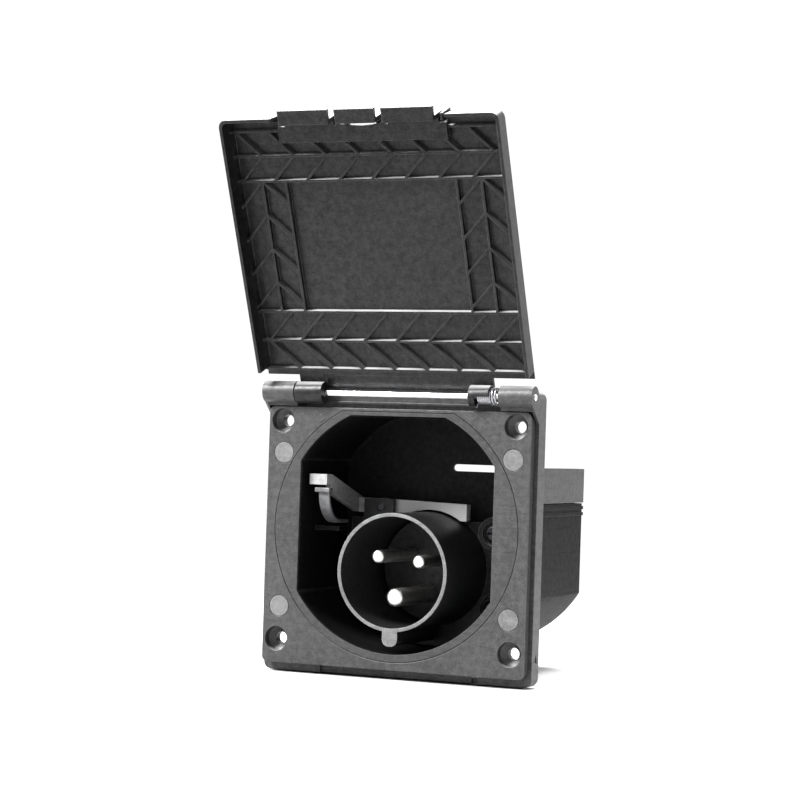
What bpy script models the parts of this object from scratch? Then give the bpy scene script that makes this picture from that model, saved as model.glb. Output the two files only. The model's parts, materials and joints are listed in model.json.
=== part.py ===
"""Flush mains inlet box with a hinged lid: a square frame, a round recess bowl, a three pin
inlet with a release lever, and a terminal housing behind. Lengths below are in millimetres.

+X is right, +Z is up and the front faces -Y. Y = 0 is the plane of the wall behind the frame,
and X = 0, Z = 0 is the centre of the round recess.
"""

import math

import bpy
import bmesh
from mathutils import Matrix, Vector

MM = 0.001
GAP = 0.3

# Frame
HALF_WIDTH = 55.4
BOTTOM_Z = -56.3
TOP_Z = 53.7
RIM_FRONT = -7.2
FACE_FRONT = -12.0
FACE_HALF = 53.95
FACE_BOTTOM = -53.1
FACE_TOP = 45.7
SKIN = 2.5
SEAL_DEPTH = 0.75
SEAL_FRONT = -11.2
SCREW_HOLES = [(x, z) for x in (-48.1, 48.1) for z in (40.3, -44.0)]
PLUG_HOLES = [(x, z) for x in (-47.3, 47.3) for z in (27.9, -31.3)]
LIP_HALF = 31.2

# Recess bowl
MOUTH_RADIUS = 47.2
MOUTH_HALF = 40.0
MOUTH_TOP = 43.0
COLLAR_RADIUS = 50.0
COLLAR_TOP = 44.4
BOWL_WALL = 2.0
BOWL_BACK = 33.0
SLOT_Z = 24.0
SLOT_HEIGHT = 2.7
SLOT_X = (5.0, 31.0)

# Inlet
INLET_Z = -16.1
SHROUD_RADIUS = 22.5
SHROUD_WALL = 1.3
SHROUD_FRONT = -12.8
PLATE_FRONT = 28.8
PLATE_BACK = 31.8
PLATE_TOP = 3.0
EAR_RADIUS = 6.6
EARS = [(x, INLET_Z + z) for x in (-25.4, 25.4) for z in (14.8, -14.8)]
KEY_HALF = 3.1
KEY_DEPTH = 5.5
PIN_CIRCLE = 9.78
PIN_TWIST = -4.0
PIN_TIP = -8.2
PIN_BACK = 37.6
PINS = {"pin_neutral": (150.0, 2.5), "pin_live": (30.0, 2.5), "pin_earth": (270.0, 3.5)}
CARRIER_RADIUS = 20.3

# Release lever
LEVER_X = -20.0
LEVER_Z = 7.6
BAR_FRONT = 23.0
BAR_BACK = 27.0
PAD = ((-37.9, -8.0, 15.9), (-30.5, -3.0, 20.0))

# Lid, measured from the hinge: s runs down the closed lid and n runs towards the wall
HINGE_Y = -12.5
HINGE_Z = 51.3
OPEN_ANGLE = 156.5
LID_HALF = 55.5
LID_WALL = 1.2
LID_END = 109.4
LID_EDGE = 6.2
LID_OUTER = -4.6
LID_FLOOR = -3.0
LID_RIM = 4.6
RIB_TOP = -1.0
RIB_WIDE = 0.9
CROSS_RIBS = (9.2, 20.8, 32.5, 84.1, 93.7, 103.3)
LONG_RIBS = (-44.0, -34.2, 34.2, 44.0)
CHEVRON_PITCH = 13.25
STRIP_HALF = 33.6
STRIP_S = (99.0, 105.2)
STRIP_FACE = 0.2
LUGS = ((-30.6, -10.6), (10.8, 30.7))
TAB = (-7.7, 7.9)
LUG_S = (106.9, 108.6, 112.3)
LUG_FACE = 4.8
LUG_LIP = 1.6
KNUCKLE_RADIUS = 4.2
ROD_RADIUS = 1.25
CATCH_S = 100.0
CATCH_N = -2.8

# Terminal housing
HOUSING_FRONT = 35.3
HOUSING_BACK = 85.0
HOUSING_HALF = 41.6
HOUSING_RADIUS = 49.0
HOUSING_TOP = 10.8
CAP_TOP = 21.3
FENCE_TOP = 24.9
GLAND_Z = -12.0


def make_collection(name):
    found = bpy.data.collections.new(name)
    bpy.context.scene.collection.children.link(found)
    return found


def material(name, colour, roughness, metallic=0.0):
    made = bpy.data.materials.new(name)
    made.use_nodes = True
    shader = made.node_tree.nodes["Principled BSDF"]
    shader.inputs["Base Color"].default_value = (*colour, 1.0)
    shader.inputs["Roughness"].default_value = roughness
    shader.inputs["Metallic"].default_value = metallic
    made.diffuse_color = (*colour, 1.0)
    return made


def mesh_object(name, mesh, placement=None):
    made = bpy.data.objects.new(name, mesh)
    parts.objects.link(made)
    if placement is not None:
        made.matrix_basis = placement
    return made


def facing(axis, offset):
    """A placement that turns local Z to the axis named, offset along it."""
    turns = {
        "X": Matrix(((0, 0, 1), (1, 0, 0), (0, 1, 0))),
        "Y": Matrix(((1, 0, 0), (0, 0, -1), (0, 1, 0))),
        "Z": Matrix.Identity(3),
    }
    moves = {"X": (offset, 0, 0), "Y": (0, offset, 0), "Z": (0, 0, offset)}
    return Matrix.Translation(Vector(moves[axis]) * MM) @ turns[axis].to_4x4()


def prism(name, outlines, start, end, axis="Y"):
    """Flat outlines, extruded along the axis from start to end. Inner outlines become holes."""
    curve = bpy.data.curves.new(name, "CURVE")
    curve.dimensions = "2D"
    curve.fill_mode = "BOTH"
    curve.extrude = abs(end - start) * MM / 2
    for outline in outlines:
        spline = curve.splines.new("POLY")
        spline.points.add(len(outline) - 1)
        for point, (u, v) in zip(spline.points, outline):
            point.co = (u * MM, v * MM, 0.0, 1.0)
        spline.use_cyclic_u = True
    holder = bpy.data.objects.new(name + "_outline", curve)
    parts.objects.link(holder)
    graph = bpy.context.evaluated_depsgraph_get()
    mesh = bpy.data.meshes.new_from_object(holder.evaluated_get(graph))
    mesh.name = name
    bpy.data.objects.remove(holder)
    bpy.data.curves.remove(curve)
    shape = bmesh.new()
    shape.from_mesh(mesh)
    bmesh.ops.remove_doubles(shape, verts=shape.verts, dist=1e-7)
    bmesh.ops.recalc_face_normals(shape, faces=shape.faces)
    shape.to_mesh(mesh)
    shape.free()
    return mesh_object(name, mesh, facing(axis, (start + end) / 2))


def loft(name, rings, axis="Y"):
    """Outlines of equal point counts, each at its own place along the axis, skinned and capped."""
    shape = bmesh.new()
    loops = []
    for place, outline in rings:
        depth = -place if axis == "Y" else place
        loops.append([shape.verts.new((u * MM, v * MM, depth * MM)) for u, v in outline])
    count = len(loops[0])
    for one, other in zip(loops, loops[1:]):
        for i in range(count):
            j = (i + 1) % count
            shape.faces.new((one[i], one[j], other[j], other[i]))
    shape.faces.new(loops[0])
    shape.faces.new(loops[-1])
    bmesh.ops.recalc_face_normals(shape, faces=shape.faces)
    mesh = bpy.data.meshes.new(name)
    shape.to_mesh(mesh)
    shape.free()
    return mesh_object(name, mesh, facing(axis, 0))


def block(name, low, high):
    shape = bmesh.new()
    bmesh.ops.create_cube(shape, size=1.0)
    middle = [(a + b) / 2 * MM for a, b in zip(low, high)]
    size = [(b - a) * MM for a, b in zip(low, high)]
    bmesh.ops.transform(shape, matrix=Matrix.Diagonal((*size, 1.0)), verts=shape.verts)
    mesh = bpy.data.meshes.new(name)
    shape.to_mesh(mesh)
    shape.free()
    return mesh_object(name, mesh, Matrix.Translation(middle))


def drum(name, radius, start, end, at=(0.0, 0.0), axis="Y", sides=32):
    """A cylinder along the axis, centred on at, which holds the other two coordinates in order."""
    shape = bmesh.new()
    bmesh.ops.create_cone(
        shape,
        cap_ends=True,
        segments=sides,
        radius1=radius * MM,
        radius2=radius * MM,
        depth=(end - start) * MM,
    )
    mesh = bpy.data.meshes.new(name)
    shape.to_mesh(mesh)
    shape.free()
    made = mesh_object(name, mesh, facing(axis, (start + end) / 2))
    shift = {"X": (0, *at), "Y": (at[0], 0, at[1]), "Z": (*at, 0)}[axis]
    made.matrix_basis = Matrix.Translation(Vector(shift) * MM) @ made.matrix_basis
    return made


def turned(name, profile, at=(0.0, 0.0), axis="Y", sides=24, closed=False):
    """A profile of (radius, place along the axis), turned about the axis."""
    sign = -1 if axis == "Y" else 1
    points = [(r * MM, 0.0, sign * place * MM) for r, place in profile]
    loop = zip(points, points[1:] + points[:1])
    if sum(a[0] * b[2] - b[0] * a[2] for a, b in loop) > 0:
        points.reverse()
    edges = [(i, i + 1) for i in range(len(points) - 1)]
    if closed:
        edges.append((len(points) - 1, 0))
    mesh = bpy.data.meshes.new(name)
    mesh.from_pydata(points, edges, [])
    made = mesh_object(name, mesh, facing(axis, 0))
    shift = {"X": (0, *at), "Y": (at[0], 0, at[1]), "Z": (*at, 0)}[axis]
    made.matrix_basis = Matrix.Translation(Vector(shift) * MM) @ made.matrix_basis
    screw = made.modifiers.new("Turn", "SCREW")
    screw.steps = sides
    screw.render_steps = sides
    screw.use_merge_vertices = True
    screw.merge_threshold = 1e-6
    screw.use_smooth_shade = True
    return made


def boolean(target, tool, operation):
    tool.hide_render = True
    tool.display_type = "WIRE"
    parts.objects.unlink(tool)
    cutters.objects.link(tool)
    change = target.modifiers.new(operation.title() + " " + tool.name, "BOOLEAN")
    change.operation = operation
    change.object = tool
    return target


def cut(target, *tools):
    for tool in tools:
        boolean(target, tool, "DIFFERENCE")
    return target


def fuse(target, *tools):
    for tool in tools:
        boolean(target, tool, "UNION")
    return target


def fuse_all(target, tools, label):
    """Many tools in one union."""
    group = bpy.data.collections.new(label)
    cutters.children.link(group)
    for tool in tools:
        tool.hide_render = True
        tool.display_type = "WIRE"
        parts.objects.unlink(tool)
        group.objects.link(tool)
    change = target.modifiers.new(label, "BOOLEAN")
    change.operation = "UNION"
    change.operand_type = "COLLECTION"
    change.collection = group
    return target


def hang_on(parent, *pieces):
    for piece in pieces:
        piece.parent = parent


def arc(radius, first, last, steps, centre=(0.0, 0.0)):
    angles = [math.radians(first + (last - first) * i / steps) for i in range(steps + 1)]
    return [(centre[0] + radius * math.cos(a), centre[1] + radius * math.sin(a)) for a in angles]


def circle(radius, centre=(0.0, 0.0), steps=32):
    return arc(radius, 0, 360, steps, centre)[:-1]


def rounded_box(left, right, bottom, top, radius, steps=3):
    corners = [
        ((right - radius, top - radius), 0),
        ((left + radius, top - radius), 90),
        ((left + radius, bottom + radius), 180),
        ((right - radius, bottom + radius), 270),
    ]
    return [p for centre, a in corners for p in arc(radius, a, a + 90, steps, centre)]


def clipped_circle(radius, half, top, steps=42):
    """A circle of the radius given, cut flat at X = -half, X = half and Z = top."""
    top = min(top, radius)
    half = min(half, radius)
    side = math.degrees(math.acos(half / radius))
    upper = math.degrees(math.asin(top / radius))
    points = arc(radius, 180 + side, 360 - side, steps)
    if side > upper:
        return [*points, (half, top), (-half, top)]
    shoulder = arc(radius, side, upper, steps // 3)
    points += shoulder
    points += [(-x, z) for x, z in reversed(shoulder)]
    return dedupe(points)


def dedupe(points):
    kept = []
    for point in points:
        if not kept or math.dist(point, kept[-1]) > 1e-6:
            kept.append(point)
    if math.dist(kept[0], kept[-1]) < 1e-6:
        kept.pop()
    return kept


def screw_profile(head_radius, head_high, shank_radius, head_front, length):
    """A domed screw, head first, along the axis from head_front."""
    under = head_front + head_high
    return [
        (0.0, head_front),
        (head_radius * 0.7, head_front + head_high * 0.1),
        (head_radius, head_front + head_high * 0.6),
        (head_radius, under),
        (shank_radius, under),
        (shank_radius, under + length - shank_radius),
        (0.0, under + length),
    ]


def make_frame():
    face = (-FACE_HALF, FACE_HALF, FACE_BOTTOM, FACE_TOP)
    neck = (face[0] + SEAL_DEPTH, face[1] - SEAL_DEPTH, face[2] + SEAL_DEPTH, face[3])
    rim = rounded_box(-HALF_WIDTH, HALF_WIDTH, BOTTOM_Z, TOP_Z, 3.0, 4)
    frame = prism("frame", [rim], RIM_FRONT, 0)
    fuse(frame, prism("frame_neck", [rounded_box(*neck, 1.6)], SEAL_FRONT - 0.1, RIM_FRONT + 1))
    fuse(frame, prism("frame_face", [rounded_box(*face, 2.2, 4)], FACE_FRONT, SEAL_FRONT))
    for side in (-1, 1):
        near, far = sorted((side * 42.1, side * HALF_WIDTH))
        middle = (HINGE_Y, HINGE_Z)
        fuse(frame, block("frame_cheek", (near, HINGE_Y, FACE_TOP + 0.4), (far, -2.0, HINGE_Z)))
        edge = sorted((side * 54.3, side * HALF_WIDTH))
        gusset = [(-15.3, 48.6), (RIM_FRONT + 0.5, 41.0), (RIM_FRONT + 0.5, HINGE_Z)]
        fuse(frame, prism("frame_gusset", [gusset], *edge, "X"))
        fuse(frame, drum("frame_knuckle", KNUCKLE_RADIUS, near, far, middle, "X", 28))
    fuse(frame, block("frame_ledge", (-41.4, -8.1, 47.3), (41.4, -6.0, 48.2)))
    hollow = (-50.9, 50.9, -50.1, 43.5)
    cut(frame, prism("frame_hollow", [rounded_box(*hollow, 2.0)], FACE_FRONT + SKIN, 1))
    hollow = (-53.4, 53.4, -54.3, 51.7)
    cut(frame, prism("frame_back_hollow", [rounded_box(*hollow, 2.0)], -5.0, 1))
    bosses = [drum("frame_boss", 5.0, -11, -3.8, at) for at in SCREW_HOLES]
    bosses += [drum("frame_boss_foot", 5.5, -6.8, -3.8, at) for at in SCREW_HOLES]
    bosses += [drum("frame_post", 5.2, -11, -5.1, at) for at in PLUG_HOLES]
    for at in SCREW_HOLES:
        high, low = sorted((math.copysign(52.5, at[1]), at[1]))
        bosses.append(block("frame_web", (at[0] - 0.9, -10, high), (at[0] + 0.9, -3.8, low)))
    fuse_all(frame, bosses, "Frame bosses")
    cut(frame, prism("frame_opening", [clipped_circle(COLLAR_RADIUS + GAP, 99, 44.7)], -13, 1))
    for at in SCREW_HOLES:
        bore = [(0.0, -13), (4.75, -13), (4.75, -8.6), (2.3, -7.2), (2.3, 1), (0.0, 1)]
        cut(frame, turned("frame_screw_hole", bore, at))
    for at in PLUG_HOLES:
        bore = [(0.0, -13), (4.2, -13), (4.2, -8.1), (1.8, -8.1), (1.8, 1), (0.0, 1)]
        cut(frame, turned("frame_plug_hole", bore, at))
    cut(frame, block("frame_lip_cut", (-LIP_HALF, -8, -58), (LIP_HALF, -5.7, -53.6)))
    cut(frame, block("frame_catch_notch", (LIP_HALF - 0.2, -8, -58), (34.2, -4.6, -53.6)))
    cut(frame, drum("frame_rod_hole", ROD_RADIUS + 0.15, -60, 60, (HINGE_Y, HINGE_Z), "X", 20))
    for end in (42.9, 40.3):
        bar = [(-32.4, end), (-31.9, end), (-30.2, 41.6), (-30.7, 41.6)]
        fuse(frame, prism("frame_arrow", [bar], FACE_FRONT - 0.25, FACE_FRONT + 0.6))
    mark = [(-4.6, -47.4), (-1.8, -47.4), (-3.2, -43.6)]
    cut(frame, prism("frame_side_mark", [mark], 54.7, 56.5, "X"))
    frame.data.materials.append(black_plastic)

    outer = rounded_box(face[0] + 0.05, face[1] - 0.05, face[2] + 0.05, face[3] - 0.05, 2.1, 4)
    inner = rounded_box(neck[0] - 0.15, neck[1] + 0.15, neck[2] - 0.15, neck[3] - 0.5, 1.8, 4)
    seal = prism("lid_seal", [outer, inner], SEAL_FRONT + 0.2, RIM_FRONT - 0.2)
    cut(seal, block("seal_end", (-60, -15, 43.6), (60, 0, 50)))
    seal.data.materials.append(black_rubber)

    plug = [(0.0, FACE_FRONT), (4.0, FACE_FRONT), (4.0, FACE_FRONT + 1.2), (0.0, FACE_FRONT + 1.2)]
    screw = screw_profile(3.0, 1.9, 1.45, -10.3, 8.6)
    for number, at in enumerate(PLUG_HOLES, 1):
        turned(f"blanking_plug_{number}", plug, at).data.materials.append(grey_plastic)
        turned(f"assembly_screw_{number}", screw, at, sides=16).data.materials.append(steel)


def make_bowl():
    outside = clipped_circle(MOUTH_RADIUS + BOWL_WALL, MOUTH_HALF + BOWL_WALL, COLLAR_TOP)
    bowl = prism("recess_bowl", [outside], -9, BOWL_BACK + BOWL_WALL)
    fuse(bowl, prism("bowl_collar", [clipped_circle(COLLAR_RADIUS, 99, COLLAR_TOP)], -12, -3))
    ears = [prism("bowl_flange", [clipped_circle(51.6, 99, 47.5)], -4.7, -3.2)]
    for x, z in PLUG_HOLES:
        side = math.copysign(1, x)
        near, far = sorted((side * 38.5, x))
        ears.append(drum("bowl_ear", 4.2, -4.8, -1.8, (x, z), sides=24))
        ears.append(block("bowl_ear_arm", (near, -4.8, z - 4.2), (far, -1.8, z + 4.2)))
    fuse_all(bowl, ears, "Bowl ears")
    mouth = clipped_circle(MOUTH_RADIUS, MOUTH_HALF, MOUTH_TOP)
    cut(bowl, prism("bowl_mouth", [mouth], -13, BOWL_BACK))
    for x, z in PLUG_HOLES:
        cut(bowl, drum("bowl_ear_hole", 1.75, -6, 0, (x, z), sides=16))
    radius = SLOT_HEIGHT / 2
    left, right = SLOT_X
    slot = arc(radius, 90, 270, 8, (left + radius, SLOT_Z))
    slot += arc(radius, -90, 90, 8, (right - radius, SLOT_Z))
    cut(bowl, prism("bowl_slot", [slot], BOWL_BACK - 1, BOWL_BACK + 3))
    cut(bowl, drum("bowl_back_hole", CARRIER_RADIUS + 0.5, 32, 37, (0, INLET_Z), sides=40))
    for at in EARS:
        cut(bowl, drum("bowl_screw_hole", 2.0, 32, 37, at, sides=16))
    fuse(bowl, block("bowl_spring_ledge", (-41, 3, -1.9), (-29.8, 12, -0.3)))
    bowl.data.materials.append(black_plastic)


def make_inlet():
    plate_outline = clipped_circle(46.4, 36.0, PLATE_TOP)
    inlet = prism("inlet_insert", [plate_outline], PLATE_FRONT, PLATE_BACK)
    ears = [drum("inlet_ear", EAR_RADIUS, PLATE_FRONT - 1, PLATE_BACK, at, sides=32) for at in EARS]
    ears.append(drum("inlet_shroud", SHROUD_RADIUS, SHROUD_FRONT, PLATE_BACK, (0, INLET_Z), sides=64))
    key_bottom = INLET_Z - SHROUD_RADIUS - KEY_DEPTH
    key = rounded_box(-KEY_HALF, KEY_HALF, key_bottom, INLET_Z - 20, 2.6, 4)
    ears.append(prism("inlet_key", [key], SHROUD_FRONT, 26.0))
    ears.append(block("inlet_bracket", (-27.0, 20.0, 1.2), (-14.6, 22.7, 10.7)))
    ears.append(block("inlet_bridge", (-27.0, 20.5, 1.2), (-14.6, PLATE_FRONT + 1, 2.9)))
    fuse_all(inlet, ears, "Inlet shroud and ears")
    at = (LEVER_X, LEVER_Z)
    cut(inlet, drum("inlet_pivot_bore", 1.75, 19, 24, at, sides=20))
    bore = SHROUD_RADIUS - SHROUD_WALL
    cut(inlet, drum("inlet_bore", bore, -14, 33, (0, INLET_Z), sides=64))
    cut(inlet, block("inlet_drain", (-5.9, 26.5, key_bottom - 0.1), (1.3, 33, key_bottom + 4.1)))
    for at in EARS:
        bore = [(0.0, 26), (4.8, 26), (4.8, 29.4), (2.1, 29.4), (2.1, 34), (0.0, 34)]
        cut(inlet, turned("inlet_screw_hole", bore, at))
    inlet.data.materials.append(black_plastic)

    seal_holes = [circle(2.1, at, 12) for at in EARS]
    seal_holes.append(circle(CARRIER_RADIUS + 0.5, (0, INLET_Z), 40))
    outline = clipped_circle(45.4, 35.0, PLATE_TOP - 0.6)
    gasket = prism("inlet_gasket", [outline, *seal_holes], PLATE_BACK + 0.2, BOWL_BACK - 0.2)
    gasket.data.materials.append(black_rubber)

    carrier = drum("pin_carrier", CARRIER_RADIUS, 27.0, 37.0, (0, INLET_Z), sides=40)
    carrier.data.materials.append(black_plastic)
    for name, (angle, radius) in PINS.items():
        turn = math.radians(angle + PIN_TWIST)
        at = (PIN_CIRCLE * math.cos(turn), INLET_Z + PIN_CIRCLE * math.sin(turn))
        cut(carrier, drum(name + "_socket", radius + 0.1, 26, 38, at, sides=24))
        tip = [(0.0, PIN_TIP), (radius * 0.45, PIN_TIP + 0.15), (radius * 0.85, PIN_TIP + 1.0)]
        pin = turned(name, [*tip, (radius, PIN_TIP + 2.2), (radius, PIN_BACK), (0.0, PIN_BACK)], at)
        pin.data.materials.append(nickel)
        label = name.replace("pin", "terminal")
        half = 4.0
        low = (at[0] - half, PIN_BACK + 0.3, at[1] - half)
        terminal = block(label, low, (at[0] + half, PIN_BACK + 11.5, at[1] + half))
        cut(terminal, drum(label + "_wire_hole", 2.0, PIN_BACK + 4, PIN_BACK + 13, at, sides=16))
        screw_y = PIN_BACK + 8.0
        across = drum(label + "_thread", 1.6, at[1], at[1] + 6, (at[0], screw_y), "Z", 16)
        cut(terminal, across)
        terminal.data.materials.append(brass)
        high = at[1] + half + 1.6
        profile = [(0.0, high), (1.45, high), (1.45, at[1] + 2.2), (0.0, at[1] + 2.2)]
        screw = turned(label + "_screw", profile, (at[0], screw_y), "Z", 16)
        screw.data.materials.append(steel)
    profile = screw_profile(3.9, 2.3, 1.8, 26.9, 10.4)
    for number, at in enumerate(EARS, 1):
        turned(f"inlet_screw_{number}", profile, at, sides=20).data.materials.append(steel)


def make_lever():
    pivot = bpy.data.objects.new("lever_axis", None)
    parts.objects.link(pivot)
    pivot.location = Vector((LEVER_X, 0, LEVER_Z)) * MM

    clear = SHROUD_RADIUS + 0.8
    right = 15.5
    first = 90 - math.degrees(math.asin(13.0 / clear))
    last = 90 + math.degrees(math.asin(9.4 / clear))
    under = arc(clear, first, last, 10, (0, INLET_Z))
    bar = [(-33.3, 5.2), (-33.3, 10.9), (-15.0, 10.7), (right, 9.8), (right, under[0][1]), *under]
    lever = prism("release_lever", [bar], BAR_FRONT, BAR_BACK)
    arm = [(-3.1, 13.0), (-3.1, 20.0), (BAR_BACK, 10.9), (BAR_BACK, 5.2), (BAR_FRONT, 5.2)]
    fuse(lever, prism("lever_arm", [arm], -33.3, PAD[1][0] - 0.05, "X"))
    fuse(lever, block("lever_pad", *PAD))
    at = (LEVER_X, LEVER_Z)
    fuse(lever, drum("lever_hub", 3.4, BAR_FRONT - 0.1, BAR_BACK + 0.1, at, sides=24))
    cut(lever, drum("lever_bore", 1.7, 20, 30, at, sides=20))
    lever.data.materials.append(grey_plastic)
    hang_on(pivot, lever)
    for change in lever.modifiers:
        hang_on(pivot, change.object)
    for piece in (lever, *(change.object for change in lever.modifiers)):
        piece.matrix_basis = Matrix.Translation(-pivot.location) @ piece.matrix_basis

    pin = drum("lever_pivot_pin", 1.45, 20.4, 32.5, at, sides=20)
    pin.data.materials.append(steel)

    bend = 12.0
    thick = 1.4
    centre = (5.0, 13.0)
    outer = arc(bend, 180, 270, 12, centre)
    inner = arc(bend - thick, 270, 180, 12, centre)
    low = centre[1] - bend
    tail = [(11.6, low), (11.6, low + thick)]
    strip = prism("lever_spring", [[*outer, *tail, *inner]], -34.5, -29.7, "X")
    fuse(strip, block("spring_head", (-35.7, -8.1, 12.9), (-29.2, -4.7, 14.9)))
    strip.data.materials.append(spring_steel)


def lid_block(name, x, s, n):
    return block(name, (x[0], n[0], -s[1]), (x[1], n[1], -s[0]))


def lid_rib(name, start, end):
    """A straight rib on the lid's floor from one (x, s) to another."""
    along = Vector((end[0] - start[0], 0, start[1] - end[1]))
    half = along.length / 2
    low = (-half, LID_FLOOR - 0.4, -RIB_WIDE / 2)
    rib = block(name, low, (half, RIB_TOP, RIB_WIDE / 2))
    turn = Matrix.Rotation(-math.atan2(along.z, along.x), 4, "Y")
    middle = Vector(((start[0] + end[0]) / 2, 0, -(start[1] + end[1]) / 2)) * MM
    rise = Matrix.Translation(Vector((0, (LID_FLOOR - 0.4 + RIB_TOP) / 2, 0)) * MM)
    rib.matrix_basis = Matrix.Translation(middle) @ turn @ rise
    return rib


def lug_blocks(name, x, back):
    """A catch lug: a low block standing on the lid's edge, with a thinner lip along its face."""
    base, step, end = LUG_S
    block_part = lid_block(name, x, (base, step), (back, LUG_FACE))
    lip = lid_block(name + "_lip", x, (base + 0.5, end), (LUG_FACE - LUG_LIP, LUG_FACE - 0.01))
    return [block_part, lip]


def lid_ribs():
    wall = LID_HALF - LID_WALL + 0.3
    low1, low2, low3, high3, high2, high1 = CROSS_RIBS
    ribs = [lid_rib("lid_cross_rib", (-wall, s), (wall, s)) for s in CROSS_RIBS[:-1]]
    sill = STRIP_S[0] + 0.4
    ribs.append(lid_rib("lid_cross_rib", (-wall, high1), (-STRIP_HALF + 0.4, high1)))
    ribs.append(lid_rib("lid_cross_rib", (STRIP_HALF - 0.4, high1), (wall, high1)))
    ribs += [lid_rib("lid_long_rib", (x, low3), (x, high3)) for x in LONG_RIBS]
    reach = high1 - high2
    for k in range(8):
        x = 50.3 - CHEVRON_PITCH * k
        rise = reach if k in (0, 6, 7) else sill - high2
        ribs.append(lid_rib("lid_chevron", (x, high2), (x - rise, high2 + rise)))
        ribs.append(lid_rib("lid_chevron", (x, high2), (x - reach, high3)))
        x = -51.2 + CHEVRON_PITCH * k
        reach_low = low2 - low1
        ribs.append(lid_rib("lid_chevron", (x, low2), (x + reach_low, low3)))
        ribs.append(lid_rib("lid_chevron", (x, low2), (x + reach_low, low1)))
    for side in (-1, 1):
        for k in range(4):
            s = high3 - CHEVRON_PITCH * k
            for target in (34.2, wall):
                drop = abs(44.0 - target)
                end = (side * target, s - drop)
                ribs.append(lid_rib("lid_chevron", (side * 44.0, s), end))
    return ribs


def lid_outline(inset):
    radius = 3.0
    half = LID_HALF - inset * 0.6
    edge = -LID_EDGE
    end = -LID_END + inset
    points = [(half, edge), (-half, edge)]
    points += arc(radius, 180, 270, 4, (-half + radius, end + radius))
    points += arc(radius, 270, 360, 4, (half - radius, end + radius))
    return points


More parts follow.
